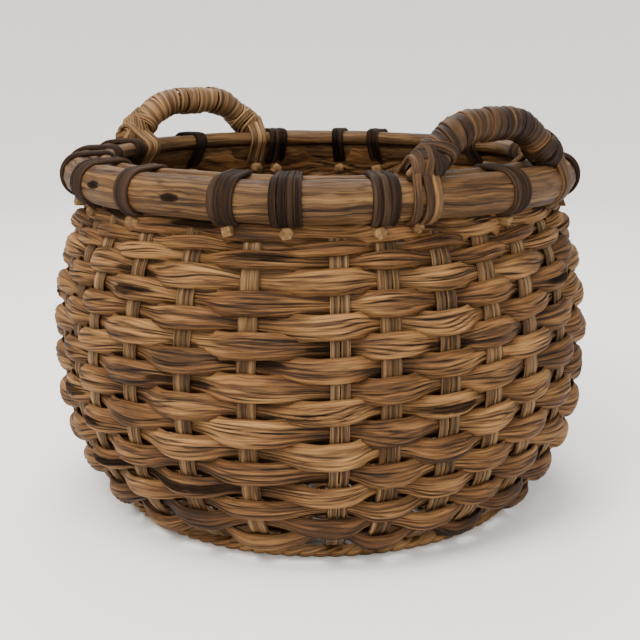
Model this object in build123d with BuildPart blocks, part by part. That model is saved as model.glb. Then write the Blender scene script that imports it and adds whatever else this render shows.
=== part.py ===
from build123d import *
from math import cos, degrees, radians, sin, sqrt
import os

# Round bellied cane basket with two wrapped handles, in millimetres.
# +Z is up, the origin is on the floor under the middle of the base, and the
# handles stand on the +X and -X sides of the rim.

# Stakes: thirty pairs of flat cane, rather uneven in pitch
stake_count = 30
stake_pitch = 360 / stake_count
first_stake = -30
stake_shift = (2.3, 2.1, 0.5, -0.8, 0.5, -3.5, -2.9, -1.8, -0.7, 4.7)
cane_width = 8.5
cane_thickness = 3
cane_gap = 0.5

# Wall: the line that the stakes follow
base_height = 10
base_edge_radius = 193
belly_radius = 256.3
belly_height = 165
shoulder_radius = 300
stake_foot_radius = 158.3
stake_top = 304
short_stake_top = 293
stake_foot_clearance = 10
peg_clearance_angle = 6

# Weft rows: centre heights of the woven bundles, packed by hand
row_heights = (24, 45, 62, 79, 97, 116, 135.5, 154, 172.5, 192, 207.5, 228, 241, 262, 276, 287, 297)
row_gap = 1.4
lowest_row_foot = 15.5
highest_row_top = 303.5
weft_throw = 5.2
weft_half_thickness = 2.8
weft_edge_half_thickness = 1.6
weft_contact = 9.5

# Rim: the outer pole and the thinner hoop inside the stakes
pole_radius = 17.75
pole_ring_radius = 232.25
pole_height = 324.6
hoop_radius = 4.8
hoop_ring_radius = 210.8
hoop_height = 333.5

# Dark cane bindings round the pole and the hoop: angle, strands and strand width
bindings = (
    (-119, 3, 6.5), (-101, 3, 6.5), (-83, 1, 15), (-59.5, 3, 6.5),
    (-47.5, 4, 5.5), (-28.5, 3, 6.5), (2, 3, 6), (36, 3, 6.5),
    (60, 3, 6.5), (85, 3, 6.5), (121.5, 2, 7), (133, 2, 7),
    (153, 3, 7), (180, 1, 15), (208, 3, 6.5), (226, 3, 6.5),
)
strand_thickness = 2.4
strand_gap = 0.8
strand_clearance = 0.45
peg_radius = 4.5
peg_height = 299.5
peg_clearance = 0.3
peg_inner_end = 203
peg_outer_end = 241

# Handles
handle_plane = 219
handle_apex = 382
handle_foot_height = 350.8
handle_foot = 78
handle_shoulder = 40
handle_tail = 98
handle_wrap_end = 63
handle_core_radius = 8
handle_wrap_radius = 14
handle_foot_bend = 45
handle_crown_bend = 60
wrap_fit = 0.3
lashing_angle = 20.8
lashing_width = 16

# Base
stick_width = 5.6
stick_pitch = 8.4
stick_end_radius = 158
fan_radius = 84
stick_straight = 46
stick_straight_loss = 3.2
lower_stick_count = 8
upper_stick_count = 7
ring_first_radius = 66
ring_pitch = 11.5
ring_count = 11
ring_width = 9
ring_thickness = 4
ring_clearance = 0.3
layer_gap = 0.3
plateau = 3
foot_inner_radius = 187
foot_outer_radius = 205
foot_height = 8.2

os.makedirs("parts", exist_ok=True)


def stake_angle(index):
    return first_stake + stake_pitch * index + stake_shift[index % len(stake_shift)]


def polar(radius, angle):
    return (radius * cos(radians(angle)), radius * sin(radians(angle)))


def radial_plane(angle, aside=0):
    """Upright plane through the axis: local x is the radius and local y the height."""
    along = Vector(sin(radians(angle)), -cos(radians(angle)), 0)
    return Plane(origin=along * aside, x_dir=polar(1, angle) + (0,), z_dir=along)


def wall_radius(height):
    """Radius of the stakes' centre line: a full belly on a rounded foot."""
    if height > belly_height:
        return belly_radius - (height - belly_height) ** 2 / (2 * shoulder_radius)
    drop = (belly_height - height) / (belly_height - base_height)
    return base_edge_radius + (belly_radius - base_edge_radius) * (1 - drop**2.5) ** 0.625


def wall_stretch(height):
    """How much longer a level cut through the sloping wall is than a square one."""
    slope = wall_radius(height + 0.5) - wall_radius(height - 0.5)
    return sqrt(1 + slope**2)


def save(piece, name):
    piece.part.label = name
    export_step(piece.part, f"parts/{name}.step")


# Weft rows

peg_planes = [
    Plane(origin=polar(peg_inner_end, angle) + (peg_height,), z_dir=polar(1, angle) + (0,))
    for angle, _, _ in bindings
]


def row_outline(row, height, half_thickness):
    """Level loop of one row that passes outside one stake and inside the next."""
    points = []
    for index in range(stake_count):
        side = 1 if (row + index) % 2 else -1
        offset = (side * weft_throw + half_thickness) * wall_stretch(height)
        radius = wall_radius(height) + offset
        for step in (-weft_contact, weft_contact):
            points.append(polar(radius, stake_angle(index) + degrees(step / radius)))
    return points


def row_limits(row):
    here = row_heights[row - 1]
    low = lowest_row_foot
    high = highest_row_top
    if row > 1:
        low = (row_heights[row - 2] + here + row_gap) / 2
    if row < len(row_heights):
        high = (row_heights[row] + here - row_gap) / 2
    return low, here, high


def make_weft_row(row):
    low, middle, high = row_limits(row)
    edge = weft_edge_half_thickness
    sections = ((low, edge), (middle, weft_half_thickness), (high, edge))
    with BuildPart() as weft_row:
        for height, half in sections:
            with BuildSketch(Plane.XY.offset(height)):
                with BuildLine():
                    Spline(row_outline(row, height, half), periodic=True)
                make_face()
                with BuildLine():
                    Spline(row_outline(row, height, -half), periodic=True)
                make_face(mode=Mode.SUBTRACT)
        loft(ruled=True)
        if row == len(row_heights):
            with Locations(*peg_planes):
                Cylinder(
                    peg_radius + peg_clearance,
                    peg_outer_end - peg_inner_end,
                    align=(Align.CENTER, Align.CENTER, Align.MIN),
                    mode=Mode.SUBTRACT,
                )
    save(weft_row, f"weft_row_{row:02d}")


for row_number in range(1, len(row_heights) + 1):
    make_weft_row(row_number)


# Wall stakes


def stake_side(top, offset):
    """One long side of a stake: along the base and up the wall to just under the pole."""
    heights = (14, 22, 36, 60, 95, 130, 165, 200, 235, 270, top)
    line = [(wall_radius(height), height) for height in heights]
    side = [(base_edge_radius - stake_foot_clearance, base_height - offset)]
    for before, here, after in zip([side[0]] + line, line, line[1:] + line[-1:]):
        run = Vector(after) - Vector(before)
        shift = Vector(run.Y, -run.X).normalized() * offset
        side.append((here[0] + shift.X, here[1] + shift.Y))
    return side


def make_cane(top):
    half = cane_thickness / 2
    outer = stake_side(top, half)
    inner = stake_side(top, -half)
    with BuildPart() as cane:
        with BuildSketch():
            with BuildLine():
                Polyline(
                    outer[0],
                    (stake_foot_radius, outer[0][1]),
                    (stake_foot_radius, inner[0][1]),
                    inner[0],
                )
                Spline(outer)
                Spline(inner)
                Line(outer[-1], inner[-1])
            make_face()
        extrude(amount=cane_width / 2, both=True)
    return cane.part


long_cane = make_cane(stake_top)
short_cane = make_cane(short_stake_top)


def make_stakes(name, first, last):
    """Pairs of cane side by side; a pair that would meet a peg ends below it."""
    long_places = []
    short_places = []
    for index in range(first, last):
        angle = stake_angle(index)
        nearest = min(abs((angle - place + 180) % 360 - 180) for place, _, _ in bindings)
        places = short_places if nearest < peg_clearance_angle else long_places
        for side in (-1, 1):
            places.append(radial_plane(angle, side * (cane_width + cane_gap) / 2))
    with BuildPart() as stakes:
        with Locations(*long_places):
            add(long_cane)
        with Locations(*short_places):
            add(short_cane)
    save(stakes, name)


third = stake_count // 3
for part_number in range(3):
    make_stakes(f"wall_stakes_{part_number + 1}", part_number * third, (part_number + 1) * third)


# Base


def make_base_sticks(name, count, first_index, quarter_turn, level):
    """Parallel sticks in the middle of the base, fanned out to meet the stakes."""
    frame = Plane(origin=(0, 0, level), x_dir=polar(1, quarter_turn) + (0,), z_dir=(0, 0, 1))
    with BuildPart() as sticks:
        for place in range(count):
            rank = place - (count - 1) / 2
            straight = stick_straight - stick_straight_loss * abs(rank)
            opposite = first_index + stake_count // 2 + count - 1 - place
            ahead = stake_angle(first_index + place) - quarter_turn
            behind = stake_angle(opposite) - quarter_turn
            with BuildSketch(frame):
                with BuildLine():
                    Polyline(
                        polar(stick_end_radius, behind),
                        polar(fan_radius, behind),
                        (-straight, rank * stick_pitch),
                        (straight, rank * stick_pitch),
                        polar(fan_radius, ahead),
                        polar(stick_end_radius, ahead),
                    )
                trace(line_width=stick_width)
            extrude(amount=cane_thickness)
    save(sticks, name)


lower_level = base_height - cane_thickness - layer_gap / 2
upper_level = base_height + layer_gap / 2
make_base_sticks("base_sticks_lower", lower_stick_count, -1, 0, lower_level)
make_base_sticks("base_sticks_upper", upper_stick_count, 7, 90, upper_level)

ring_rise = cane_thickness + layer_gap / 2 + ring_clearance + ring_thickness / 2


def ring_section(middle, angle, rise):
    with BuildSketch(radial_plane(angle)) as section:
        with Locations((middle, base_height + rise)):
            Rectangle(ring_width, ring_thickness)
    return section.sketch.face()


def make_base_weave(name, first_ring):
    """Flat rings that rise over one stick and dip under the next."""
    half_turn = stake_count // 2
    with BuildPart() as weave:
        for ring in range(first_ring, ring_count, 2):
            middle = ring_first_radius + ring_pitch * ring
            for start in (0, half_turn):
                sections = []
                for index in range(start, start + half_turn + 1):
                    rise = ring_rise if (index + ring) % 2 else -ring_rise
                    sections.append(ring_section(middle, stake_angle(index) - plateau, rise))
                    if index < start + half_turn:
                        sections.append(ring_section(middle, stake_angle(index) + plateau, rise))
                loft(sections, ruled=True)
    save(weave, name)


make_base_weave("base_weave_even", 0)
make_base_weave("base_weave_odd", 1)

with BuildPart() as foot_ring:
    with BuildSketch(Plane.XZ):
        with BuildLine():
            Polyline(
                (foot_outer_radius, foot_height),
                (foot_inner_radius, foot_height),
                (foot_inner_radius, 0),
                (foot_outer_radius - foot_height, 0),
            )
            RadiusArc(
                (foot_outer_radius - foot_height, 0),
                (foot_outer_radius, foot_height),
                -foot_height,
            )
        make_face()
    revolve(axis=Axis.Z)
save(foot_ring, "foot_ring")


# Rim


def make_hoop(name, ring_radius, height, radius):
    with BuildPart() as hoop:
        with BuildSketch(Plane.XZ):
            with Locations((ring_radius, height)):
                Circle(radius)
        revolve(axis=Axis.Z)
    save(hoop, name)


make_hoop("rim_pole", pole_ring_radius, pole_height, pole_radius)
make_hoop("inner_hoop", hoop_ring_radius, hoop_height, hoop_radius)

rim_rounds = (
    (pole_ring_radius, pole_height, pole_radius),
    (hoop_ring_radius, hoop_height, hoop_radius),
)


def make_band(name, angle, strands, width, rounds):
    """Strands pulled tight round several rods, side by side."""
    first = -(strands - 1) / 2
    layers = (
        (strand_clearance + strand_thickness, Mode.ADD),
        (strand_clearance, Mode.SUBTRACT),
    )
    with BuildPart() as band:
        for strand in range(strands):
            aside = (first + strand) * (width + strand_gap)
            for grow, mode in layers:
                with BuildSketch(radial_plane(angle, aside)):
                    for ring_radius, height, radius in rounds:
                        with Locations((ring_radius, height)):
                            Circle(radius + grow)
                    make_hull()
                extrude(amount=width / 2, both=True, mode=mode)
    save(band, name)


for number, (binding_angle, strand_count, strand_width) in enumerate(bindings, 1):
    make_band(f"rim_binding_{number:02d}", binding_angle, strand_count, strand_width, rim_rounds)

with BuildPart() as wall_pegs:
    with Locations(*peg_planes):
        Cylinder(
            peg_radius,
            peg_outer_end - peg_inner_end,
            align=(Align.CENTER, Align.CENTER, Align.MIN),
        )
save(wall_pegs, "wall_pegs")


# Handles

foot_round = (pole_ring_radius, handle_foot_height + 2, handle_core_radius + strand_thickness)


def make_handle(number, facing):
    side_plane = Plane(origin=(facing * handle_plane, 0, 0), x_dir=(0, 1, 0), z_dir=(1, 0, 0))
    core_end = (facing * handle_plane, -handle_tail, handle_foot_height)
    core_start = Plane(origin=core_end, z_dir=(0, 1, 0))
    with BuildPart() as core:
        with BuildLine(side_plane):
            FilletPolyline(
                (-handle_tail, handle_foot_height),
                (-handle_foot, handle_foot_height),
                (-handle_shoulder, handle_apex),
                (handle_shoulder, handle_apex),
                (handle_foot, handle_foot_height),
                (handle_tail, handle_foot_height),
                radius=(handle_foot_bend, handle_crown_bend, handle_crown_bend, handle_foot_bend),
            )
        with BuildSketch(core_start):
            Circle(handle_core_radius)
        sweep()
    save(core, f"handle_core_{number}")

    rise = (handle_apex - handle_foot_height) / (handle_foot - handle_shoulder)
    end_height = handle_apex - rise * (handle_wrap_end - handle_shoulder)
    wrap_end = (facing * handle_plane, -handle_wrap_end, end_height)
    wrap_start = Plane(origin=wrap_end, z_dir=(0, 1, rise))
    with BuildPart() as wrap:
        with BuildLine(side_plane):
            FilletPolyline(
                (-handle_wrap_end, end_height),
                (-handle_shoulder, handle_apex),
                (handle_shoulder, handle_apex),
                (handle_wrap_end, end_height),
                radius=handle_crown_bend,
            )
        with BuildSketch(wrap_start):
            Circle(handle_wrap_radius)
            Circle(handle_core_radius + wrap_fit, mode=Mode.SUBTRACT)
        sweep()
    save(wrap, f"handle_wrap_{number}")

    middle_angle = 0 if facing > 0 else 180
    for half, turn in ((1, -lashing_angle), (2, lashing_angle)):
        name = f"handle_lashing_{2 * number - 2 + half}"
        make_band(name, middle_angle + turn, 1, lashing_width, rim_rounds + (foot_round,))


make_handle(1, 1)
make_handle(2, -1)
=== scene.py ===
import bpy
import numpy as np
from math import atan2, cos, pi, radians, sin, sqrt
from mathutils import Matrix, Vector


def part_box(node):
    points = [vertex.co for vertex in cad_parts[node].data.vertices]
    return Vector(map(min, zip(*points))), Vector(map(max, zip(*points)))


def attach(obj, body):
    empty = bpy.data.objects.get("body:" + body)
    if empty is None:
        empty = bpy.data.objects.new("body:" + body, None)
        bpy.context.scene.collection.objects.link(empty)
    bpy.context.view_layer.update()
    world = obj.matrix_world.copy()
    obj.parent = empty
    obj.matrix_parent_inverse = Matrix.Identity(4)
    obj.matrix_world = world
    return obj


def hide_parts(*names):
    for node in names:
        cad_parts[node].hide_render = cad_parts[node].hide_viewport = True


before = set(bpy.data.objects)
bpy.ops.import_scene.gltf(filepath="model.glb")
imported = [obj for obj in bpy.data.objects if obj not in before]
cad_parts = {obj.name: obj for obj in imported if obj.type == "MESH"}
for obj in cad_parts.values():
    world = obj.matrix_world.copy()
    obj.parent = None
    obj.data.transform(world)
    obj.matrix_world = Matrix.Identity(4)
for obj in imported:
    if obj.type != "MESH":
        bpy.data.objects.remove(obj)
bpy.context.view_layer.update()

# A round bellied cane basket. Lengths are in metres, in the frame's own axes:
# +Z up, the handles on +X and -X. Names follow the frame's nodes.

MM = 0.001

# Stakes
STAKES = 30
PITCH = 360 / STAKES
FIRST_STAKE = -30
STAKE_SHIFT = (2.3, 2.1, 0.5, -0.8, 0.5, -3.5, -2.9, -1.8, -0.7, 4.7)

SHORT_STAKE_TOP = 293 * MM
LONG_STAKE_TOP = 299 * MM
CANE_HALF_THICKNESS = 1.5 * MM

# Wall line that the stakes follow
BASE_HEIGHT = 10 * MM
BASE_EDGE = 193 * MM
BELLY_RADIUS = 256.3 * MM
BELLY_HEIGHT = 165 * MM
SHOULDER = 300 * MM

# Woven rows: how far a row swings in and out, and how thick its bundles are
ROW_SWING = 5.3 * MM
ROW_PUFF = 4.6 * MM
ROW_SLANT = 1.0 * MM
THIN_ROW = 13 * MM
THICK_ROW = 17 * MM
TOP_ROW_RISE = 6.5 * MM
# Height below which the rows are painted darker: painted shade
PAINTED_SHADE_BELOW = 120 * MM

# Rim
POLE_RADIUS = 17.75 * MM
POLE_RING = 232.25 * MM
POLE_HEIGHT = 324.6 * MM
HOOP_RADIUS = 7.2 * MM
HOOP_RING = 209.8 * MM
HOOP_HEIGHT = 336.2 * MM
# Angle in degrees, strands, and width of a strand in mm
BINDINGS = (
    (-119, 3, 6.5), (-101, 3, 6.5), (-83, 1, 15), (-59.5, 3, 6.5),
    (-47.5, 4, 5.5), (-28.5, 3, 6.5), (2, 3, 6), (36, 3, 6.5),
    (60, 3, 6.5), (85, 3, 6.5), (121.5, 2, 7), (133, 2, 7),
    (153, 3, 7), (180, 1, 15), (208, 3, 6.5), (226, 3, 6.5),
)
STRAND_GAP = 0.1 * MM
STRAND_THICKNESS = 3.9 * MM
POLE_JOINT = 2
# Angle along the pole and place round its section, in degrees and radians
POLE_KNOTS = ((-93, 0.22), (-70.5, 0.05), (64, 0.2), (172, 0.35), (256, -0.2))
PEG_HEIGHT = 299.5 * MM
PEG_START = 212 * MM
PEG_END = 240 * MM

# Handles
HANDLE_PLANE = 219 * MM
HANDLE_FOOT = 78 * MM
HANDLE_SHOULDER = 40 * MM
HANDLE_TAIL = 98 * MM
HANDLE_APEX = 382 * MM
HANDLE_FOOT_BEND = 45 * MM
HANDLE_CROWN_BEND = 60 * MM
HANDLE_FOOT_HEIGHT = 350.8 * MM
LASHING_ANGLE = 20.8
LASHING_THICKNESS = 3.8 * MM
HANDLE_ROD = 9.6 * MM
HANDLE_TURNS = 24
WRAP_START = -93 * MM
WRAP_LIFT = 1.5 * MM

# Base: crossed sticks that fan out, and rings woven over and under them
STICK_END = 158 * MM
STICK_BEND = 84 * MM
STICK_STRAIGHT = 46 * MM
STICK_STRAIGHT_LOSS = 3.2 * MM
STICK_PITCH = 8.4 * MM
STICK_ARC = 30 * MM
STICK_WIDTH = 6.2 * MM
STICK_THICKNESS = 3 * MM
STICK_LEVELS = (8.35 * MM, 11.65 * MM)
FIRST_RING = 66 * MM
RING_PITCH = 11.5 * MM
RINGS = 11
FOOT_INNER = 187 * MM

# Direction that the camera looks from, about the axis
VIEW_ANGLE = -41


# Small helpers for curves


def stake_angle(index):
    return FIRST_STAKE + PITCH * index + STAKE_SHIFT[index % len(STAKE_SHIFT)]


STAKE_ANGLES = np.array([stake_angle(k) for k in range(STAKES + 1)])


def angle_at(place):
    """Angle in radians at a stake coordinate: whole numbers are stakes."""
    turns = np.floor(place / STAKES)
    inside = place - turns * STAKES
    return np.radians(np.interp(inside, np.arange(STAKES + 1), STAKE_ANGLES) + 360 * turns)


def wall_radius(height):
    height = np.asarray(height, float)
    above = BELLY_RADIUS - (height - BELLY_HEIGHT) ** 2 / (2 * SHOULDER)
    drop = np.clip((BELLY_HEIGHT - height) / (BELLY_HEIGHT - BASE_HEIGHT), 0, 0.999)
    below = BASE_EDGE + (BELLY_RADIUS - BASE_EDGE) * (1 - drop**2.5) ** 0.625
    return np.where(height > BELLY_HEIGHT, above, below)


def wall_normal(height):
    """Outward normal of the wall as (radial, upward)."""
    step = 1 * MM
    slope = (wall_radius(height + step) - wall_radius(height - step)) / (2 * step)
    length = np.sqrt(1 + slope**2)
    return 1 / length, -slope / length


def ring_noise(rng, count, waves, samples):
    """Periodic smooth noise of about unit size: `count` curves with up to `waves` waves."""
    turn = np.arange(samples) * 2 * pi / samples
    orders = np.arange(1, waves + 1)
    size = rng.normal(size=(count, waves, 2)) / sqrt(waves)
    angles = orders[:, None] * turn[None]
    return np.einsum("cw,ws->cs", size[:, :, 0], np.cos(angles)) + np.einsum(
        "cw,ws->cs", size[:, :, 1], np.sin(angles)
    )


def per_stake(values, place):
    """Value given at each stake, eased between stakes."""
    low = np.floor(place).astype(int)
    part = place - low
    ease = part * part * (3 - 2 * part)
    return values[low % STAKES] * (1 - ease) + values[(low + 1) % STAKES] * ease


# Mesh building


class Shape:
    """Collects grids of quads, with texture coordinates and point values, into one mesh."""

    def __init__(self):
        self.points, self.corners, self.starts, self.uvs = [], [], [], []
        self.values = {"crease_shade": [], "tone": [], "soot": []}
        self.point_count = 0
        self.corner_count = 0

    def _add_faces(self, faces, uv):
        size = faces.shape[1]
        self.corners.append(faces.reshape(-1))
        self.starts.append(self.corner_count + size * np.arange(len(faces)))
        self.uvs.append(uv.reshape(-1, 2))
        self.corner_count += faces.size

    def grid(self, points, u, v, closed_u=False, closed_v=True, crease_shade=0.0, tone=0.0, soot=0.0):
        """points is (along, across, 3); u and v hold one more value where the grid closes."""
        along, across = points.shape[:2]
        i, j = np.meshgrid(
            np.arange(along if closed_u else along - 1),
            np.arange(across if closed_v else across - 1),
            indexing="ij",
        )
        i2, j2 = (i + 1) % along, (j + 1) % across
        base = self.point_count
        quads = np.stack([i * across + j, i2 * across + j, i2 * across + j2, i * across + j2], -1)
        corners = ((i, j), (i + 1, j), (i + 1, j + 1), (i, j + 1))
        uv = np.stack([np.stack([u[a], v[b]], -1) for a, b in corners], -2)
        self._add_faces(quads.reshape(-1, 4) + base, uv)
        if closed_v and not closed_u:
            ring = np.arange(across)
            for start, order in ((0, ring), ((along - 1) * across, ring[::-1])):
                cap = (start + order)[None] + base
                self._add_faces(cap, np.stack([np.full(across, u[0]), v[:across]], -1))
        self.points.append(points.reshape(-1, 3))
        for name, value in (("crease_shade", crease_shade), ("tone", tone), ("soot", soot)):
            self.values[name].append(np.broadcast_to(value, (along, across)).reshape(-1))
        self.point_count += along * across

    def piece(self, name, material, nodes=()):
        mesh = bpy.data.meshes.new(name)
        points = np.concatenate(self.points)
        corners = np.concatenate(self.corners)
        mesh.vertices.add(len(points))
        mesh.vertices.foreach_set("co", points.reshape(-1).astype(np.float32))
        mesh.loops.add(len(corners))
        mesh.loops.foreach_set("vertex_index", corners.astype(np.int32))
        starts = np.concatenate(self.starts)
        mesh.polygons.add(len(starts))
        mesh.polygons.foreach_set("loop_start", starts.astype(np.int32))
        mesh.update(calc_edges=True)
        uvs = np.concatenate(self.uvs).reshape(-1).astype(np.float32)
        mesh.uv_layers.new(name="UVMap")
        mesh.uv_layers["UVMap"].data.foreach_set("uv", uvs)
        for key, parts in self.values.items():
            layer = mesh.attributes.new(key, "FLOAT", "POINT")
            layer.data.foreach_set("value", np.concatenate(parts).astype(np.float32))
        mesh.polygons.foreach_set("use_smooth", np.ones(len(starts), bool))
        mesh.materials.append(material)
        mesh.validate()
        obj = bpy.data.objects.new(name, mesh)
        bpy.context.scene.collection.objects.link(obj)
        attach(obj, "root")
        if nodes:
            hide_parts(*nodes)
        return obj


def tube_frames(path, up):
    """Tangent, side and top directions along an open path."""
    tangent = np.gradient(path, axis=0)
    tangent /= np.linalg.norm(tangent, axis=1, keepdims=True)
    side = np.cross(tangent, up)
    side /= np.linalg.norm(side, axis=1, keepdims=True)
    return tangent, side, np.cross(side, tangent)


def path_length(path):
    return np.concatenate([[0], np.cumsum(np.linalg.norm(np.diff(path, axis=0), axis=1))])


# Materials


class Nodes:
    """A short way to write a node tree."""

    def __init__(self, name):
        self.material = bpy.data.materials.new(name)
        self.material.use_nodes = True
        self.tree = self.material.node_tree
        self.shader = self.tree.nodes["Principled BSDF"]

    def put(self, value, socket):
        if isinstance(value, bpy.types.NodeSocket):
            self.tree.links.new(value, socket)
        elif value is not None:
            socket.default_value = value

    def node(self, kind, output=0, inputs=(), **settings):
        made = self.tree.nodes.new(kind)
        for key, value in settings.items():
            setattr(made, key, value)
        for key, value in dict(inputs).items():
            self.put(value, made.inputs[key])
        return made.outputs[output]

    def math(self, operation, a, b=None, c=None, clamp=False):
        inputs = {0: a, 1: b, 2: c}
        return self.node("ShaderNodeMath", inputs=inputs, operation=operation, use_clamp=clamp)

    def value(self, name):
        return self.node("ShaderNodeAttribute", "Fac", attribute_name=name)

    def mix(self, factor, a, b, blend="MIX"):
        inputs = {0: factor, 6: a, 7: b}
        return self.node(
            "ShaderNodeMix", 2, inputs, data_type="RGBA", blend_type=blend, clamp_factor=True
        )

    def ramp(self, factor, stops):
        made = self.tree.nodes.new("ShaderNodeValToRGB")
        elements = made.color_ramp.elements
        while len(elements) < len(stops):
            elements.new(0.5)
        for element, (place, colour) in zip(elements, stops):
            element.position = place
            element.color = (*colour, 1)
        self.put(factor, made.inputs[0])
        return made.outputs[0]


SOOT_COLOUR = (0.0065, 0.0045, 0.0035, 1)
# Colour painted into creases, cracks and knot holes: painted shade
CREASE_SHADE_COLOUR = (0.006, 0.003, 0.001)


def cane_material(
    name, dark, middle, light, roughness=0.62, coarse=1.0, bump=0.6, crease_shade_colour=CREASE_SHADE_COLOUR, wavy=1.0,
    seams=0.9, grain=1.0, gloss=0.16,
):
    """Split cane: wandering fibres along u, blotches, fine dark seams, grey-black stains and painted
    shade in the creases.
    """
    n = Nodes(name)
    split = n.tree.nodes.new("ShaderNodeSeparateXYZ")
    n.put(n.node("ShaderNodeUVMap", uv_map="UVMap"), split.inputs[0])
    along, across = split.outputs[0], split.outputs[1]

    def stretched(scale_u, scale_v, shift, detail, rough=0.55, side=None):
        place = n.node(
            "ShaderNodeCombineXYZ",
            inputs={
                0: n.math("MULTIPLY", along, scale_u),
                1: n.math("MULTIPLY", side or across, scale_v),
                2: shift,
            },
        )
        inputs = {"Vector": place, "Scale": 1.0, "Detail": detail, "Roughness": rough}
        return n.node("ShaderNodeTexNoise", "Fac", inputs)

    sway = stretched(24, 50, 2.6, 2)
    bent = n.math("MULTIPLY_ADD", n.math("SUBTRACT", sway, 0.5), 4.5 * MM * wavy, across)
    fibre = stretched(20 * grain, 640 * coarse, 1.3, 5, 0.62, bent)
    strand = stretched(8 * grain, 200 * coarse, 7.1, 3, 0.55, bent)
    blotch = stretched(24, 60, 4.2, 4, 0.6)
    seam_noise = stretched(9 * grain, 330 * coarse, 9.4, 3, 0.5, bent)
    hair_noise = stretched(16 * grain, 800 * coarse, 5.8, 2, 0.5, bent)
    shade = n.math("MULTIPLY_ADD", fibre, 0.50, n.math("MULTIPLY", strand, 0.50))
    shade = n.math("MULTIPLY_ADD", n.value("tone"), 0.085, shade)
    shade = n.math("MULTIPLY_ADD", n.math("SUBTRACT", blotch, 0.5), 0.26, shade)
    colour = n.ramp(shade, ((0.32, dark), (0.47, middle), (0.64, light)))

    def near_half(noise, narrow):
        off = n.math("ABSOLUTE", n.math("SUBTRACT", noise, 0.5))
        return n.math("SUBTRACT", 1.0, n.math("MULTIPLY", off, narrow), clamp=True)

    between_strands = n.math("MULTIPLY_ADD", strand, -1.6, 1.5)
    seam = n.math("MULTIPLY", near_half(seam_noise, 26), between_strands, clamp=True)
    hair = near_half(hair_noise, 14)
    colour = n.mix(n.math("MULTIPLY", hair, 0.30), colour, (*[c * 0.55 for c in dark], 1))
    colour = n.mix(n.math("MULTIPLY", seam, seams), colour, (*[c * 0.35 for c in dark], 1))
    # Painted shade: the crease mask darkens creases, cracks and knot holes towards the crease shade
    # colour.
    crease_shade = n.value("crease_shade")
    crease_shade_mix = n.math("MULTIPLY", crease_shade, n.math("MULTIPLY_ADD", fibre, 1.4, 0.45), clamp=True)
    colour = n.mix(crease_shade_mix, colour, (*crease_shade_colour, 1))
    soot = n.value("soot")
    ragged = n.math("MULTIPLY_ADD", n.math("SUBTRACT", fibre, 0.5), 0.9, n.math("SUBTRACT", blotch, 0.5))
    stained = n.math("ADD", n.math("SUBTRACT", soot, 0.38), n.math("MULTIPLY", ragged, 1.5))
    sharp = n.math("MULTIPLY", stained, 5.0, clamp=True)
    stained = n.math("MULTIPLY", sharp, n.math("MULTIPLY", soot, 2.5, clamp=True))
    colour = n.mix(n.math("MULTIPLY", stained, 0.88), colour, SOOT_COLOUR)
    n.put(colour, n.shader.inputs["Base Color"])
    n.put(n.math("MULTIPLY_ADD", fibre, 0.3, roughness - 0.12), n.shader.inputs["Roughness"])
    height = n.math("MULTIPLY_ADD", strand, 0.4, n.math("MULTIPLY", fibre, 0.7))
    height = n.math("MULTIPLY_ADD", seam, -0.7, height)
    height = n.math("MULTIPLY_ADD", hair, -0.15, height)
    bumped = n.node("ShaderNodeBump", inputs={"Strength": bump, "Distance": 1.0 * MM, "Height": height})
    n.put(bumped, n.shader.inputs["Normal"])
    shine = n.math("MULTIPLY", n.math("MULTIPLY_ADD", stained, -0.9, 1.0), gloss)
    n.put(shine, n.shader.inputs["Specular IOR Level"])
    return n.material


weft_cane = cane_material(
    "weft_cane", (0.022, 0.0078, 0.0016), (0.122, 0.0535, 0.0155), (0.275, 0.142, 0.051)
)
stake_cane = cane_material(
    "stake_cane", (0.025, 0.0095, 0.0025), (0.120, 0.060, 0.0210), (0.255, 0.148, 0.064),
    coarse=1.2, wavy=0.3,
)
pole_wood = cane_material(
    "pole_wood", (0.015, 0.0058, 0.0015), (0.071, 0.0325, 0.0100), (0.162, 0.087, 0.0315),
    roughness=0.56, coarse=0.9, bump=0.9, wavy=1.8, seams=0.95, grain=0.55,
)
wrap_cane = cane_material(
    "wrap_cane", (0.017, 0.0065, 0.0016), (0.100, 0.0455, 0.0150), (0.265, 0.145, 0.060),
    roughness=0.55, coarse=1.3, wavy=0.4,
)
dark_cane = cane_material(
    "dark_cane", (0.0060, 0.0030, 0.0015), (0.0185, 0.0100, 0.0056), (0.042, 0.0240, 0.0140),
    roughness=0.72, coarse=1.1, bump=0.6, crease_shade_colour=(0.003, 0.0015, 0.001), wavy=0.3, seams=0.4, gloss=0.06,
)
pale_cane = cane_material(
    "pale_cane", (0.034, 0.016, 0.005), (0.120, 0.063, 0.0225), (0.24, 0.143, 0.058),
    roughness=0.65, coarse=0.5, seams=0.3,
)


# Woven rows


def bundle_section(out_points, in_points):
    """Places round a flat bundle: across from -1 to 1 on the outside, then back inside."""
    q = np.linspace(0, 1, out_points)
    outside = -np.cos(pi * q) * 0.35 + (2 * q - 1) * 0.65
    q = np.linspace(0, 1, in_points + 2)[1:-1]
    inside = np.cos(pi * q) * 0.35 + (1 - 2 * q) * 0.65
    across = np.concatenate([outside, inside])
    face = np.concatenate([np.ones(out_points), -np.ones(in_points)])
    return across, face


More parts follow.
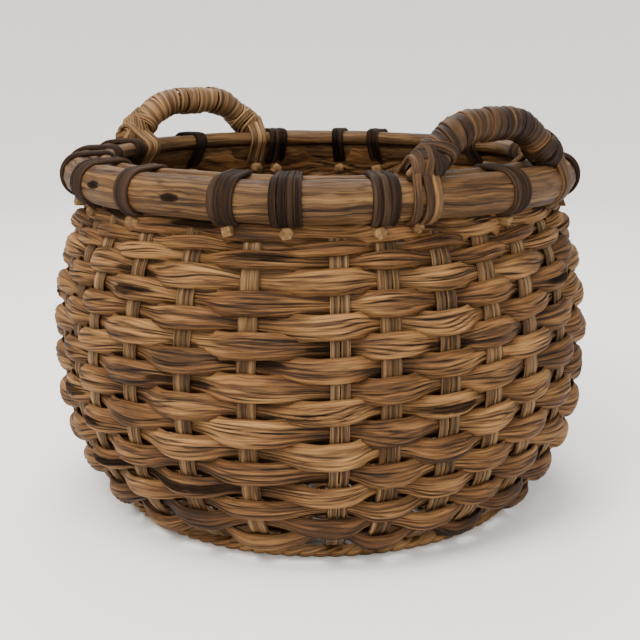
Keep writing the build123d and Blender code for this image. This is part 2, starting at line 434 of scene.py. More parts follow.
def creases(rng, across, face, samples, strands, waves=24):
    """Scallop depth and painted crease shade over a bundle of strands that wander along it."""
    edges = np.linspace(-1, 1, strands + 1)[1:-1]
    edges = edges + rng.uniform(-0.35, 0.35, strands - 1) * (2 / strands)
    skew = 0.30 * ring_noise(rng, 1, 15, samples)[0]
    wander = edges[:, None] + 0.05 * ring_noise(rng, strands - 1, waves, samples)
    strength = np.clip(0.62 + 0.45 * ring_noise(rng, strands - 1, 40, samples), 0.08, 1.0)
    place = across[None, :] + skew[:, None] * (1 - across[None, :] ** 2) * face[None, :]
    deep_width, fine_width, fine_lines = 0.085, 0.045, 9
    hollow = np.zeros((samples, len(across)))
    for line, deep in zip(wander, strength):
        near = np.exp(-(((place - line[:, None]) / deep_width) ** 2)) * deep[:, None]
        hollow = np.maximum(hollow, near)
    fine = np.zeros_like(hollow)
    for _ in range(fine_lines):
        line = rng.uniform(-0.95, 0.95) + 0.06 * ring_noise(rng, 1, waves, samples)[0]
        deep = np.clip(0.2 + 0.6 * ring_noise(rng, 1, 45, samples)[0], 0, 0.8)
        near = np.exp(-(((place - line[:, None]) / fine_width) ** 2)) * deep[:, None]
        fine = np.maximum(fine, near)
    return hollow, fine


def weave_row(number):
    node = f"weft_row_{number:02d}"
    low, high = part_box(node)
    middle = (low[2] + high[2]) / 2
    tall = high[2] - low[2]
    rng = np.random.default_rng(400 + number)
    steps = 20
    samples = STAKES * steps
    first = number % 2
    place = first + np.arange(samples) / steps
    angle = angle_at(place)
    across, face = bundle_section(40, 20)

    parity = -1 if number % 2 else 1
    wave = -parity * np.cos(pi * place)
    lean = -parity * np.sin(pi * place)
    throw = wave * (1.36 - 0.36 * wave**2) * ROW_SWING
    spread = 0.5 * tall + 0.2 * MM + wave * 2.5 * MM * (tall / THICK_ROW)
    spread *= 1 + 0.05 * per_stake(rng.normal(size=STAKES), place)
    lift = 0.8 * MM * per_stake(rng.normal(size=STAKES), place)
    lift += 0.4 * MM * ring_noise(rng, 1, 20, samples)[0] + ROW_SLANT * lean
    throw += 0.5 * MM * per_stake(rng.normal(size=STAKES), place)
    puff = ROW_PUFF + (0.9 * wave + 0.35 * per_stake(rng.normal(size=STAKES), place)) * MM
    top_row = number == len(ROWS)
    if top_row:
        throw = throw * 0.55 + 2.4 * MM
        puff *= 0.85
        spread += 3.0 * MM
        lift = lift * 0.7 + 1.6 * MM
    hollow, fine = creases(rng, across, face, samples, 5 if tall > 12 * MM else 4)

    body = (1 - np.abs(across) ** 2.3) ** 0.6 * face
    depth = puff[:, None] * body[None, :] * (1 - 0.30 * hollow - 0.10 * fine)
    height = middle + lift
    radial, upward = wall_normal(height)
    centre = wall_radius(height) + throw * radial
    # The inner face is wider than the outer one, so that little light passes between the rows
    widest = 1.0 if number >= len(ROWS) - 1 else 0.55
    change = 1.5 if tall < THIN_ROW else 0.5
    flare = np.clip(widest - change * wave, 0.15, 2.1)
    reach = spread[:, None] * across[None, :] * (1 + flare[:, None] * (face < 0)[None, :])
    if top_row:
        reach = reach + TOP_ROW_RISE * ((face < 0) * np.clip(across, 0, 1))[None, :]
    radius = centre[:, None] + depth * radial[:, None] - reach * upward[:, None]
    level = (height + throw * upward)[:, None] + depth * upward[:, None] + reach * radial[:, None]
    level = np.maximum(level, 1.0 * MM)
    points = np.stack(
        [radius * np.cos(angle)[:, None], radius * np.sin(angle)[:, None], level], -1
    )
    u = np.concatenate([angle, [angle[0] + 2 * pi]]) * float(wall_radius(middle)) + 3.1 * number
    v = np.concatenate([across * face * 0.010 + (face < 0) * 0.05, [-0.010]])
    # Painted shade: the inner face of each row is painted 0.2 darker in tone.
    tone = per_stake(rng.normal(scale=0.75, size=STAKES), place)[:, None] - 0.2 * (face < 0)[None, :]
    # Painted shade: rows lower than this height are painted darker, more so nearer the floor.
    tone -= 1.2 * max(1 - middle / PAINTED_SHADE_BELOW, 0)
    dark = (rng.uniform(size=STAKES) < 0.13) * rng.uniform(0.5, 1.0, STAKES)
    stripe = np.clip(1.3 - 1.6 * np.abs(across - rng.uniform(-0.5, 0.5)), 0, 1)
    soot = per_stake(dark, place)[:, None] * stripe[None, :]
    shape = Shape()
    # The crease mask paints shade into the creases between strands.
    shape.grid(
        points, u, v, closed_u=True, tone=tone, soot=soot,
        crease_shade=np.clip(hollow * 0.85 + fine * 0.55, 0, 1),
    )
    shape.piece(f"row_{number:02d}", weft_cane, (node,))


ROWS = sorted(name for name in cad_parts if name.startswith("weft_row_"))
for row_number in range(1, len(ROWS) + 1):
    weave_row(row_number)


# Wall stakes

ROW_LEVELS = []
for row_name in ROWS:
    low_corner, high_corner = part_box(row_name)
    ROW_LEVELS.append((low_corner[2] + high_corner[2]) / 2)
ROW_LEVELS = np.array(ROW_LEVELS)


def stake_path(index, samples, top):
    """Radius and height along a stake, pushed out and in by the rows that it passes."""
    up_the_wall = [10.2, 12, 14.5, 19, 26, 36, 50, 70, 100, 135, 170, 205, 240, 270, 286, top / MM]
    knots_h = np.array(up_the_wall) * MM
    knots_r = wall_radius(knots_h)
    knots_h = np.concatenate([[BASE_HEIGHT, BASE_HEIGHT], knots_h])
    knots_r = np.concatenate([[STICK_END, BASE_EDGE - 10 * MM], knots_r])
    run = np.concatenate([[0], np.cumsum(np.hypot(np.diff(knots_h), np.diff(knots_r)))])
    t = np.linspace(0, run[-1], samples)
    radius = np.interp(t, run, knots_r)
    height = np.interp(t, run, knots_h)
    kernel = np.array([1, 2, 3, 2, 1]) / 9
    for line in (radius, height):
        line[2:-2] = np.convolve(line, kernel, "valid")
    rows = np.arange(1, len(ROW_LEVELS) + 1)
    sides = np.where((rows + index) % 2, -1.0, 1.0)
    bow = np.interp(height, ROW_LEVELS, sides, left=0, right=0) * 1.1 * MM
    return radius, height, bow, t


def add_cane(shape, rng, index, aside, width, top, tilt):
    samples = 130
    across_count = 20
    radius, height, bow, run = stake_path(index, samples, top)
    dr, dh = np.gradient(radius), np.gradient(height)
    length = np.hypot(dr, dh)
    nr, nh = dh / length, -dr / length
    turn = np.linspace(0, 2 * pi, across_count, endpoint=False)
    flat = np.sign(np.cos(turn)) * np.abs(np.cos(turn)) ** 0.6
    thick = np.sign(np.sin(turn)) * np.abs(np.sin(turn)) ** 0.75
    ridge = 0.5 + 0.5 * np.cos(flat * pi * 3.2 + rng.uniform(0, 6))
    hollow = (1 - ridge) * (np.abs(flat) < 0.9)
    body = thick * (CANE_HALF_THICKNESS - 0.42 * MM * hollow)
    side = flat * width / 2
    wander = 0.35 * MM * np.interp(np.linspace(0, 9, samples), np.arange(10), rng.normal(size=10))
    side = side[None, :] * (1 + 0.06 * rng.normal()) + aside + wander[:, None]
    side = side + tilt * (height[:, None] - BELLY_HEIGHT)
    out = body[None, :] + bow[:, None]
    rad = radius[:, None] + out * nr[:, None]
    lev = height[:, None] + out * nh[:, None]
    angle = radians(stake_angle(index))
    points = np.stack(
        [rad * cos(angle) - side * sin(angle), rad * sin(angle) + side * cos(angle), lev], -1
    )
    v = np.concatenate([turn, [2 * pi]]) * 2.6 * MM
    # Painted shade in the hollows between the stake's ridges.
    crease_shade = np.broadcast_to(hollow[None, :] ** 2 * 0.8, (samples, across_count))
    shape.grid(points, run + rng.uniform(0, 1), v, crease_shade=crease_shade, tone=rng.normal(scale=0.6), soot=0.0)


def ends_short(index):
    """Whether a stake stands under a binding."""
    angle = stake_angle(index)
    return min(abs((angle - place[0] + 180) % 360 - 180) for place in BINDINGS) < 6


def make_stakes():
    third = STAKES // 3
    for part in range(3):
        shape = Shape()
        for index in range(part * third, (part + 1) * third):
            rng = np.random.default_rng(900 + index)
            top = SHORT_STAKE_TOP if ends_short(index) else LONG_STAKE_TOP + rng.uniform(-1, 1) * MM
            tilt = rng.normal() * 0.004
            if rng.uniform() < 0.2:
                for rank in (-1, 0, 1):
                    add_cane(shape, rng, index, rank * 6.3 * MM, 6.0 * MM, top, tilt)
            else:
                wide = rng.uniform(7.6, 9.8) * MM
                for rank in (-0.5, 0.5):
                    add_cane(shape, rng, index, rank * (wide + 0.4 * MM), wide, top, tilt)
        shape.piece(f"stakes_{part + 1}", stake_cane, (f"wall_stakes_{part + 1}",))


make_stakes()


# Rim


def torus(name, node, ring, height, radius, seed, around, along, material, rough):
    """A bent pole whose two ends meet under a binding."""
    rng = np.random.default_rng(seed)
    turn = radians(POLE_JOINT) + np.arange(along) * 2 * pi / along
    part = np.arange(around) * 2 * pi / around
    bump = np.zeros((along, around))
    for _ in range(46):
        waves_round = rng.integers(2, 20)
        waves_along = rng.integers(-26, 27)
        size = 1 / (1 + 0.06 * waves_round**1.5)
        phase = waves_along * turn[:, None] + waves_round * part[None, :] + rng.uniform(0, 2 * pi)
        bump += size * np.cos(phase)
    bump /= np.abs(bump).max()
    ridge = 1 - np.abs(bump) / 0.22
    patchy = np.clip(0.35 + 0.9 * ring_noise(rng, 1, 30, along)[0], 0, 1)[:, None]
    crack = np.clip(ridge, 0, 1) ** 3 * patchy
    bend = 1 + 0.016 * ring_noise(rng, 1, 14, along)[0]
    local = radius * bend[:, None] + rough * bump - 0.9 * rough * crack
    soot = np.zeros_like(crack)
    # Painted shade in the cracks of the pole.
    crease_shade = crack * 0.6
    if name == "pole":
        for knot_angle, knot_part in POLE_KNOTS:
            da = (turn[:, None] - radians(knot_angle) + pi) % (2 * pi) - pi
            dp = (part[None, :] - knot_part + pi) % (2 * pi) - pi
            x, y = da * ring / (7 * MM), dp * radius / (3.0 * MM)
            reach = np.maximum(x * x + y * y + 1.1 * bump, 0)
            local -= 1.3 * MM * np.exp(-reach) - 0.8 * MM * np.exp(-reach / 5)
            soot = np.maximum(soot, 1.3 * np.exp(-reach / 1.3))
            crack_line = (y + 0.5 * bump) / 0.4
            tail = np.exp(-((x / 4.2) ** 2)) * np.exp(-(crack_line**2))
            # Painted shade in the knot hole and along the crack that runs from it.
            crease_shade = np.maximum(crease_shade, np.maximum(np.exp(-reach / 0.8), tail * 0.8))
    rad = ring + local * np.cos(part)[None, :]
    wave = 0.4 * MM * ring_noise(rng, 1, 6, along)[0]
    lev = height + local * np.sin(part)[None, :] + wave[:, None]
    points = np.stack([rad * np.cos(turn)[:, None], rad * np.sin(turn)[:, None], lev], -1)
    shape = Shape()
    u = np.arange(along + 1) * 2 * pi / along * ring
    v = np.arange(around + 1) * 2 * pi / around * radius
    shape.grid(points, u, v, closed_u=True, crease_shade=np.clip(crease_shade, 0, 1), soot=soot)
    return shape.piece(name, material, (node,))


torus(
    "pole", "rim_pole", POLE_RING, POLE_HEIGHT, POLE_RADIUS - 0.2 * MM, seed=31, around=96, along=700,
    material=pole_wood, rough=0.7 * MM,
)
torus(
    "hoop", "inner_hoop", HOOP_RING, HOOP_HEIGHT, HOOP_RADIUS, seed=32, around=32, along=500,
    material=pole_wood, rough=0.3 * MM,
)


def belt(rounds, grow, samples):
    """Closed path (radius, height) pulled tight round several rods, with its outward normals."""
    turn = 1.5 * pi + np.linspace(0, 2 * pi, 720, endpoint=False)
    aim = np.stack([np.cos(turn), np.sin(turn)], -1)
    reach = np.stack([aim @ np.array([r, h]) + size + grow for r, h, size in rounds])
    best = reach.argmax(0)
    centres = np.array([(r, h) for r, h, _ in rounds])
    sizes = np.array([size + grow for _, _, size in rounds])
    line = centres[best] + aim * sizes[best][:, None]
    run = path_length(np.vstack([line, line[:1]]))
    even = np.linspace(0, run[-1], samples, endpoint=False)
    closed = np.vstack([line, line[:1]])
    path = np.stack([np.interp(even, run, closed[:, k]) for k in (0, 1)], -1)
    step = np.roll(path, -1, 0) - np.roll(path, 1, 0)
    step /= np.linalg.norm(step, axis=1, keepdims=True)
    normal = np.stack([step[:, 1], -step[:, 0]], -1)
    return path, normal, run[-1]


def add_strand(shape, rng, angle, aside, width, thickness, rounds, skew, tone):
    samples = 90
    path, normal, length = belt(rounds, -0.7 * MM, samples)
    turn = np.linspace(0, 2 * pi, 18, endpoint=False)
    flat = np.sign(np.cos(turn)) * np.abs(np.cos(turn)) ** 0.55
    thick = np.sign(np.sin(turn)) * np.abs(np.sin(turn)) ** 0.8
    ridge = np.cos(flat * pi * 2.4 + rng.uniform(0, 6))
    body = (thick * 0.5 + 0.5) * thickness * (1 + 0.10 * ridge * (thick > 0))
    sway = 0.25 * MM * np.sin(np.linspace(0, 2 * pi, samples, endpoint=False) + rng.uniform(0, 6))
    lean = skew * np.sin(np.linspace(0, 2 * pi, samples, endpoint=False) + 0.6)
    side = flat[None, :] * width / 2 + aside + sway[:, None] + lean[:, None]
    rad = path[:, 0][:, None] + body[None, :] * normal[:, 0][:, None]
    lev = path[:, 1][:, None] + body[None, :] * normal[:, 1][:, None]
    a = radians(angle) + side / POLE_RING
    points = np.stack([rad * np.cos(a), rad * np.sin(a), lev], -1)
    u = np.arange(samples + 1) / samples * length + rng.uniform(0, 1)
    v = np.concatenate([turn, [2 * pi]]) * 2.4 * MM
    # Painted shade in the hollows between the ridges on a strand's outer face.
    crease_shade = np.clip(-ridge, 0, 1)[None, :] ** 2 * 0.7 * (thick > 0)[None, :]
    shape.grid(points, u, v, closed_u=True, crease_shade=crease_shade, tone=tone)


RIM_RODS = ((POLE_RING, POLE_HEIGHT, POLE_RADIUS), (HOOP_RING, HOOP_HEIGHT, HOOP_RADIUS))

for number, (binding_angle, strand_count, strand_width) in enumerate(BINDINGS, 1):
    binding_rng = np.random.default_rng(50 + number)
    binding = Shape()
    skew_all = binding_rng.normal() * 1.0 * MM
    for strand in range(strand_count):
        offset = (strand - (strand_count - 1) / 2) * (strand_width * MM + STRAND_GAP) * 1.08
        add_strand(
            binding, binding_rng, binding_angle, offset, strand_width * 1.12 * MM, STRAND_THICKNESS,
            RIM_RODS, skew_all + binding_rng.normal() * 0.15 * MM, binding_rng.normal() * 0.7,
        )
    binding.piece(f"binding_{number:02d}", dark_cane, (f"rim_binding_{number:02d}",))


def add_peg(shape, rng, angle, start, end, height, radius, corners=5):
    """A cut cane end that points outward, with flat sides and a slanting cut."""
    turn = np.linspace(0, 2 * pi, 40, endpoint=False)
    t = np.array([0, 0.5, 0.9, 0.96, 0.99, 1, 1, 1, 1])
    size = radius * np.array([1, 1, 1.0, 0.97, 0.93, 0.86, 0.76, 0.5, 0.15])
    phase = rng.uniform(0, 2 * pi)
    sector = (turn + phase) % (2 * pi / corners) - pi / corners
    lumpy = cos(pi / corners) / np.cos(sector) + 0.06
    rad = start + (end - start) * t
    cut = rng.uniform(-0.5, 0.5, 2) * radius
    slant = cut[0] * np.cos(turn) + cut[1] * np.sin(turn)
    side = size[:, None] * (lumpy * np.cos(turn))[None, :]
    lev = height + size[:, None] * (lumpy * 0.92 * np.sin(turn))[None, :]
    rad = rad[:, None] + (t[:, None] > 0.8) * slant[None, :] * (size[:, None] / radius)
    a = radians(angle)
    points = np.stack([rad * cos(a) - side * sin(a), rad * sin(a) + side * cos(a), lev], -1)
    v = np.concatenate([turn, [2 * pi]]) * radius
    shape.grid(points, t * (end - start) + rng.uniform(0, 1), v, tone=rng.normal() * 0.6)


pegs = Shape()
for binding_angle, _, _ in BINDINGS:
    peg_rng = np.random.default_rng(int(binding_angle * 7) + 3000)
    drift = peg_rng.normal() * 0.3
    peg_size = peg_rng.uniform(5.2, 6.2) * MM
    sides = int(peg_rng.integers(4, 7))
    add_peg(pegs, peg_rng, binding_angle + drift, PEG_START, PEG_END, PEG_HEIGHT, peg_size, sides)
# A cut stub that lies across the hoop under the handle on +X
STUB_ANGLE, STUB_HEIGHT, STUB_RADIUS = 4.2, 343 * MM, 4.6 * MM
add_peg(pegs, np.random.default_rng(3999), STUB_ANGLE, 202 * MM, 215 * MM, STUB_HEIGHT, STUB_RADIUS, 4)
pegs.piece("pegs", pale_cane, ("wall_pegs",))


# Handles


def rounded_line(corners, radii, step=1.5 * MM):
    """Points along straight runs joined by tangent arcs, in a plane."""
    line = [np.array(corners[0], float)]
    for before, corner, after, radius in zip(corners, corners[1:], corners[2:], radii):
        p, c, n = (np.array(x, float) for x in (before, corner, after))
        a = (p - c) / np.linalg.norm(p - c)
        b = (n - c) / np.linalg.norm(n - c)
        half = np.arccos(np.clip(a @ b, -1, 1)) / 2
        cut = radius / np.tan(half)
        centre = c + (a + b) / np.linalg.norm(a + b) * radius / np.sin(half)
        start, end = c + a * cut - centre, c + b * cut - centre
        first = atan2(start[1], start[0])
        sweep = (atan2(end[1], end[0]) - first + pi) % (2 * pi) - pi
        for t in np.linspace(0, 1, 16):
            line.append(centre + radius * np.array([cos(first + sweep * t), sin(first + sweep * t)]))
    line.append(np.array(corners[-1], float))
    line = np.array(line)
    run = path_length(line)
    even = np.linspace(0, run[-1], int(run[-1] / step) + 2)
    return np.stack([np.interp(even, run, line[:, k]) for k in (0, 1)], -1)


def handle_arch(facing):
    """The line of a handle, from tail to tail, over the rim on +X or -X."""
    flat = rounded_line(
        (
            (-HANDLE_TAIL, HANDLE_FOOT_HEIGHT),
            (-HANDLE_FOOT, HANDLE_FOOT_HEIGHT),
            (-HANDLE_SHOULDER, HANDLE_APEX),
            (HANDLE_SHOULDER, HANDLE_APEX),
            (HANDLE_FOOT, HANDLE_FOOT_HEIGHT),
            (HANDLE_TAIL, HANDLE_FOOT_HEIGHT),
        ),
        (HANDLE_FOOT_BEND, HANDLE_CROWN_BEND, HANDLE_CROWN_BEND, HANDLE_FOOT_BEND),
    )
    return np.column_stack([np.full(len(flat), facing * HANDLE_PLANE), flat[:, 0], flat[:, 1]])


def core_line(path):
    """The rod's centre line, dropped on to the pole at its tapered ends, and its radius."""
    run = path_length(path)
    end = np.minimum(run, run[-1] - run)
    size = HANDLE_ROD * np.clip(0.2 + end / (22 * MM), 0, 1)
    centre = path.copy()
    centre[:, 2] -= np.clip(1 - end / (30 * MM), 0, 1) * 3.2 * MM + 1.0 * MM
    return centre, size


def add_core(shape, centre, size, frames):
    _, side, top = frames
    turn = np.linspace(0, 2 * pi, 28, endpoint=False)
    ring = np.cos(turn)[None, :, None] * side[:, None, :] + np.sin(turn)[None, :, None] * top[:, None, :]
    points = centre[:, None, :] + ring * size[:, None, None]
    v = np.concatenate([turn, [2 * pi]]) * HANDLE_ROD
    shape.grid(points, path_length(centre), v, tone=0.2)


def add_turn(shape, rng, rod, start, advance, width, lift, slant, tone, thick_mm=3.4):
    """One turn of the wrap: a flat strip of three canes wound once round the rod."""
    centre, size, frames, run = rod
    _, side, top = frames
    samples = 44
    phase = np.linspace(0, 2 * pi * 1.04, samples)
    where = start + advance * phase / (2 * pi) + slant * np.sin(phase + 0.4)
    turn = np.linspace(0, 2 * pi, 22, endpoint=False)
    flat = np.sign(np.cos(turn)) * np.abs(np.cos(turn)) ** 0.6
    thick = np.sign(np.sin(turn)) * np.abs(np.sin(turn)) ** 0.8
    strand = np.abs(np.cos(flat * pi * 1.5))
    body = (0.5 + 0.5 * thick) * thick_mm * MM * (0.72 + 0.28 * strand**0.6)
    spot = np.clip(where[:, None] + flat[None, :] * width / 2, run[0], run[-1])

    def at(values):
        return np.stack([np.interp(spot, run, values[:, k]) for k in range(3)], -1)

    girth = np.interp(spot, run, size)[..., None]
    reach = girth * (1 + lift / size.max()) + body[None, :, None]
    aim = np.cos(phase)[:, None, None] * at(side) + np.sin(phase)[:, None, None] * at(top)
    points = at(centre) + aim * reach
    u = phase / (2 * pi) * 66 * MM + rng.uniform(0, 1)
    v = np.concatenate([turn, [2 * pi]]) * 3.0 * MM
    # Painted shade in the creases between the strip's three canes.
    crease_shade = np.broadcast_to(((1 - strand) ** 5 * 0.9)[None, :], (samples, len(turn)))
    shape.grid(points, u, v, crease_shade=crease_shade, tone=tone)


def make_handle(number, facing):
    rng = np.random.default_rng(700 + number)
    path = handle_arch(facing)
    frames = tube_frames(path, np.array([facing, 0.0, 0.0]))
    centre, size = core_line(path)
    run = path_length(path)
    rod = (centre, size, frames, run)
    core = Shape()
    add_core(core, centre, size, frames)
    core.piece(f"handle_rod_{number}", wrap_cane, (f"handle_core_{number}",))
    wrap = Shape()
    first = np.interp(WRAP_START, path[:, 1], run)
    last = run[-1] - first
    pitch = (last - first) / HANDLE_TURNS
    # Painted light and shade: the handle on +X, on the right of the view, is painted darker and the one
    # on -X lighter.
    shade = -1.9 if facing > 0 else 1.4
    for turn in range(HANDLE_TURNS):
        start = first + pitch * turn + rng.normal() * 0.8 * MM
        lift = WRAP_LIFT + rng.uniform(-0.8, 0.9) * MM
        add_turn(
            wrap, rng, rod, start, pitch, pitch * rng.uniform(0.95, 1.3), lift,
            rng.normal() * 1.5 * MM, shade + rng.normal() * 0.9,
        )
    for end, sign in ((first, 1), (last, -1)):
        for cross, slant in ((13, 12), (18, -12), (9, 9), (23, -9), (27, 10), (21, 13), (5, -6)):
            add_turn(
                wrap, rng, rod, end + sign * cross * MM, 2 * MM, 7 * MM,
                rng.uniform(3.4, 4.6) * MM, slant * MM, shade + rng.normal() * 0.7, 2.6,
            )
    wrap.piece(f"handle_wrapping_{number}", wrap_cane, (f"handle_wrap_{number}",))
    middle = 0 if facing > 0 else 180
    foot_rod = (POLE_RING - 1 * MM, HANDLE_FOOT_HEIGHT - 2.6 * MM, 9.6 * MM)
    for half, turn_angle in ((1, -LASHING_ANGLE), (2, LASHING_ANGLE)):
        lashing = Shape()
        # The lashings get half of the handle's painted light and shade.
        for strand, width in ((-1.1, 7.0), (0, 6.6), (1.1, 7.2)):
            add_strand(
                lashing, rng, middle + turn_angle, strand * 6.4 * MM, width * MM, LASHING_THICKNESS,
                RIM_RODS + (foot_rod,), rng.normal() * 0.8 * MM, shade * 0.5 + rng.normal() * 0.4,
            )
        add_peg(
            lashing, rng, middle + turn_angle - 0.2, PEG_START, PEG_END - 3 * MM, PEG_HEIGHT + 2.5 * MM,
            5.6 * MM, 7,
        )
        index = 2 * number - 2 + half
        lashing.piece(f"lashing_{index}", stake_cane, (f"handle_lashing_{index}",))


make_handle(1, 1)
make_handle(2, -1)


# Base


def add_flat_strip(shape, rng, path, width, thickness, tone):
    """A flat cane along a path (n, 3) that lies nearly level."""
    up = np.array([0.0, 0.0, 1.0])
    _, side, top = tube_frames(path, up)
    turn = np.linspace(0, 2 * pi, 16, endpoint=False)
    flat = np.sign(np.cos(turn)) * np.abs(np.cos(turn)) ** 0.6
    thick = np.sign(np.sin(turn)) * np.abs(np.sin(turn)) ** 0.75
    ridge = np.cos(flat * pi * 2.6 + rng.uniform(0, 6))
    points = (
        path[:, None, :]
        + (flat * width / 2)[None, :, None] * side[:, None, :]
        + (thick * thickness / 2 * (1 + 0.12 * ridge))[None, :, None] * top[:, None, :]
    )
    v = np.concatenate([turn, [2 * pi]]) * 2.4 * MM
    # Painted shade in the hollows between the ridges.
    crease_shade = np.clip(-ridge, 0, 1)[None, :] ** 2 * 0.7
    shape.grid(points, path_length(path) + rng.uniform(0, 1), v, crease_shade=crease_shade, tone=tone)


def base_sticks(name, count, first_index, quarter, level):
    shape = Shape()
    rng = np.random.default_rng(first_index + 77)
    for rank_index in range(count):
        rank = rank_index - (count - 1) / 2
        straight = STICK_STRAIGHT - STICK_STRAIGHT_LOSS * abs(rank)
        ahead = radians(stake_angle(first_index + rank_index) - quarter)
        behind = radians(stake_angle(first_index + STAKES // 2 + count - 1 - rank_index) - quarter)
        plan = rounded_line(
            (
                (STICK_END * cos(behind), STICK_END * sin(behind)),
                (STICK_BEND * cos(behind), STICK_BEND * sin(behind)),
                (-straight, rank * STICK_PITCH),
                (straight, rank * STICK_PITCH),
                (STICK_BEND * cos(ahead), STICK_BEND * sin(ahead)),
                (STICK_END * cos(ahead), STICK_END * sin(ahead)),
            ),
            (STICK_ARC,) * 4,
            3 * MM,
        )
        c, s = cos(radians(quarter)), sin(radians(quarter))
        path = np.column_stack(
            [plan[:, 0] * c - plan[:, 1] * s, plan[:, 0] * s + plan[:, 1] * c, np.full(len(plan), level)]
        )
        add_flat_strip(shape, rng, path, STICK_WIDTH, STICK_THICKNESS, rng.normal() * 0.6)
    shape.piece(name + "_canes", stake_cane, (name,))


base_sticks("base_sticks_lower", 8, -1, 0, STICK_LEVELS[0])
base_sticks("base_sticks_upper", 7, 7, 90, STICK_LEVELS[1])


def base_weave(name, first_ring):
    shape = Shape()
    for ring in range(first_ring, RINGS, 2):
        rng = np.random.default_rng(600 + ring)
        steps = 10
        samples = STAKES * steps
        place = np.arange(samples) / steps
        angle = angle_at(place)
        across, face = bundle_section(18, 16)
        wave = np.cos(pi * place) * (-1 if ring % 2 == 0 else 1)
        rise = wave * (1.25 - 0.25 * wave**2) * 5.0 * MM
        ring_radius = FIRST_RING + RING_PITCH * ring
        middle = ring_radius + 0.5 * MM * per_stake(rng.normal(size=STAKES), place)
        hollow, fine = creases(rng, across, face, samples, 4)
        body = (1 - np.abs(across) ** 2.3) ** 0.6 * face
        depth = 2.4 * MM * body[None, :] * (1 - 0.3 * hollow - 0.1 * fine)
        spread = (5.4 + 0.4 * wave) * MM
        radius = middle[:, None] + spread[:, None] * across[None, :]
        level = BASE_HEIGHT + rise[:, None] + depth
        points = np.stack([radius * np.cos(angle)[:, None], radius * np.sin(angle)[:, None], level], -1)
        u = np.concatenate([angle, [angle[0] + 2 * pi]]) * ring_radius
        v = np.concatenate([across * face * 0.006 + (face < 0) * 0.05, [-0.006]])
        tone = per_stake(rng.normal(scale=0.7, size=STAKES), place)
        # Painted shade in the creases between strands.
        crease_shade = np.clip(hollow * 0.8 + fine * 0.5, 0, 1)
        shape.grid(points, u, v, closed_u=True, tone=tone[:, None], crease_shade=crease_shade)
    shape.piece(name + "_rings", weft_cane, (name,))


base_weave("base_weave_even", 0)
base_weave("base_weave_odd", 1)


def foot_coil():
    """The bottom row: strands twisted round each other on the floor."""
    _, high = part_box("foot_ring")
    outer, top = high[0], high[2]
    shape = Shape()
    samples = 900
    angle = radians(VIEW_ANGLE + 180) + np.arange(samples) * 2 * pi / samples
    for strand in range(3):
        rng = np.random.default_rng(80 + strand)
        twist = STAKES * angle + strand * 2 * pi / 3
        centre_r = (FOOT_INNER + outer) / 2 + 4.6 * MM * np.cos(twist)
        centre_z = top / 2 + 1.4 * MM * np.sin(twist)
        turn = np.linspace(0, 2 * pi, 16, endpoint=False)
        radius = centre_r[:, None] + 4.9 * MM * np.cos(turn)[None, :]
        level = centre_z[:, None] + 3.1 * MM * np.sin(turn)[None, :]
        level = np.maximum(level, 0)
        points = np.stack([radius * np.cos(angle)[:, None], radius * np.sin(angle)[:, None], level], -1)
        u = np.arange(samples + 1) / samples * 2 * pi * outer
        v = np.concatenate([turn, [2 * pi]]) * 4 * MM
        # Painted shade along four creases round each strand.
        crease_shade = 0.4 * (0.5 + 0.5 * np.cos(4 * turn + 1))[None, :] ** 3
        shape.grid(points, u, v, closed_u=True, tone=rng.normal() * 0.5, crease_shade=crease_shade)
    shape.piece("foot_coil", weft_cane, ("foot_ring",))


foot_coil()


# Floor, light and camera


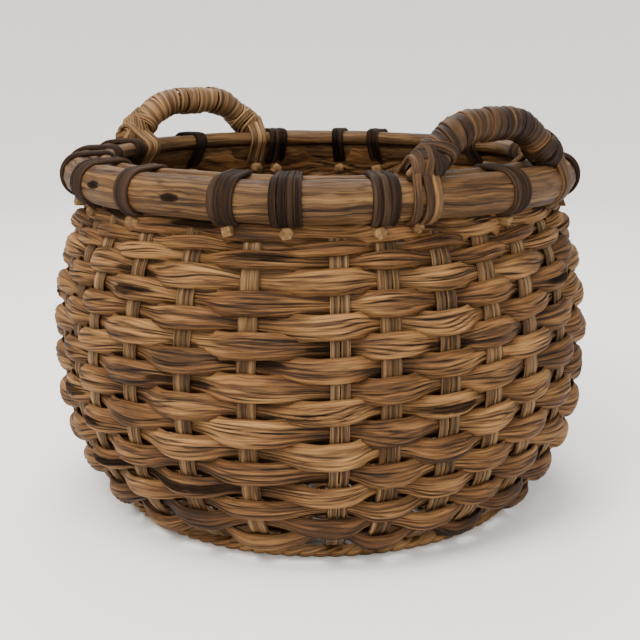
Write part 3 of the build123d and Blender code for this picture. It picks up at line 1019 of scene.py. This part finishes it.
def stage_floor():
    """A pale studio floor that curves up into a wall all round."""
    flat, bend, wall = 2.2, 1.6, 3.4
    flat_rings, around = 5, 96
    curve = np.linspace(0, pi / 2, 14)[1:]
    flat_radii = np.linspace(0.02, flat, flat_rings)
    radius = np.concatenate([flat_radii, flat + bend * np.sin(curve), [flat + bend]])
    level = np.concatenate([np.zeros(flat_rings), bend * (1 - np.cos(curve)), [wall]])
    turn = np.linspace(0, 2 * pi, around, endpoint=False)
    across = radius[:, None] * np.cos(turn), radius[:, None] * np.sin(turn)
    points = np.stack([*across, np.repeat(level[:, None], around, 1)], -1)
    middle = tuple(range(around))
    quads = []
    for ring in range(len(radius) - 1):
        low, high = ring * around, (ring + 1) * around
        for j in range(around):
            after = (j + 1) % around
            quads.append((low + j, high + j, high + after, low + after))
    mesh = bpy.data.meshes.new("floor")
    mesh.from_pydata(points.reshape(-1, 3).tolist(), [], [middle] + quads)
    mesh.polygons.foreach_set("use_smooth", np.ones(len(mesh.polygons), bool))
    obj = bpy.data.objects.new("floor", mesh)
    bpy.context.scene.collection.objects.link(obj)
    paint = Nodes("floor_paint")
    paint.shader.inputs["Base Color"].default_value = (0.90, 0.895, 0.885, 1)
    paint.shader.inputs["Roughness"].default_value = 0.9
    mesh.materials.append(paint.material)


def area_light(name, azimuth, elevation, distance, size, power, colour):
    """A round soft light aimed at the basket, placed by angles in degrees."""
    light = bpy.data.lights.new(name, "AREA")
    light.shape = "DISK"
    light.size = size
    light.energy = power
    light.color = colour
    obj = bpy.data.objects.new(name, light)
    a, e = radians(azimuth), radians(elevation)
    obj.location = (distance * cos(e) * cos(a), distance * cos(e) * sin(a), 0.2 + distance * sin(e))
    obj.rotation_euler = (pi / 2 - e, 0, a + pi / 2)
    bpy.context.scene.collection.objects.link(obj)


CAMERA_DISTANCE = 1.150
CAMERA_HEIGHT = 0.4586
CAMERA_PITCH = 14.16
LENS = 64.8

stage_floor()
area_light("key", VIEW_ANGLE - 38, 48, 2.2, 1.1, 52, (1.0, 0.955, 0.89))
area_light("top", VIEW_ANGLE - 8, 70, 2.3, 1.2, 30, (1.0, 0.965, 0.91))
area_light("front", VIEW_ANGLE - 4, 26, 2.5, 1.0, 25, (1.0, 0.965, 0.91))
area_light("fill", VIEW_ANGLE + 55, 30, 2.6, 1.8, 14, (0.96, 0.97, 1.0))
area_light("back", VIEW_ANGLE + 180, 55, 2.4, 1.4, 42, (1.0, 0.97, 0.93))
world = bpy.data.worlds.new("studio")
world.use_nodes = True
world.node_tree.nodes["Background"].inputs[0].default_value = (0.97, 0.97, 0.97, 1)
world.node_tree.nodes["Background"].inputs[1].default_value = 0.95
bpy.context.scene.world = world

camera_data = bpy.data.cameras.new("camera")
camera_data.lens = LENS
camera_data.sensor_width = 36
camera = bpy.data.objects.new("camera", camera_data)
view = radians(VIEW_ANGLE)
camera.location = (CAMERA_DISTANCE * cos(view), CAMERA_DISTANCE * sin(view), CAMERA_HEIGHT)
camera.rotation_euler = (pi / 2 - radians(CAMERA_PITCH), 0, view + pi / 2)
bpy.context.scene.collection.objects.link(camera)
bpy.context.scene.camera = camera
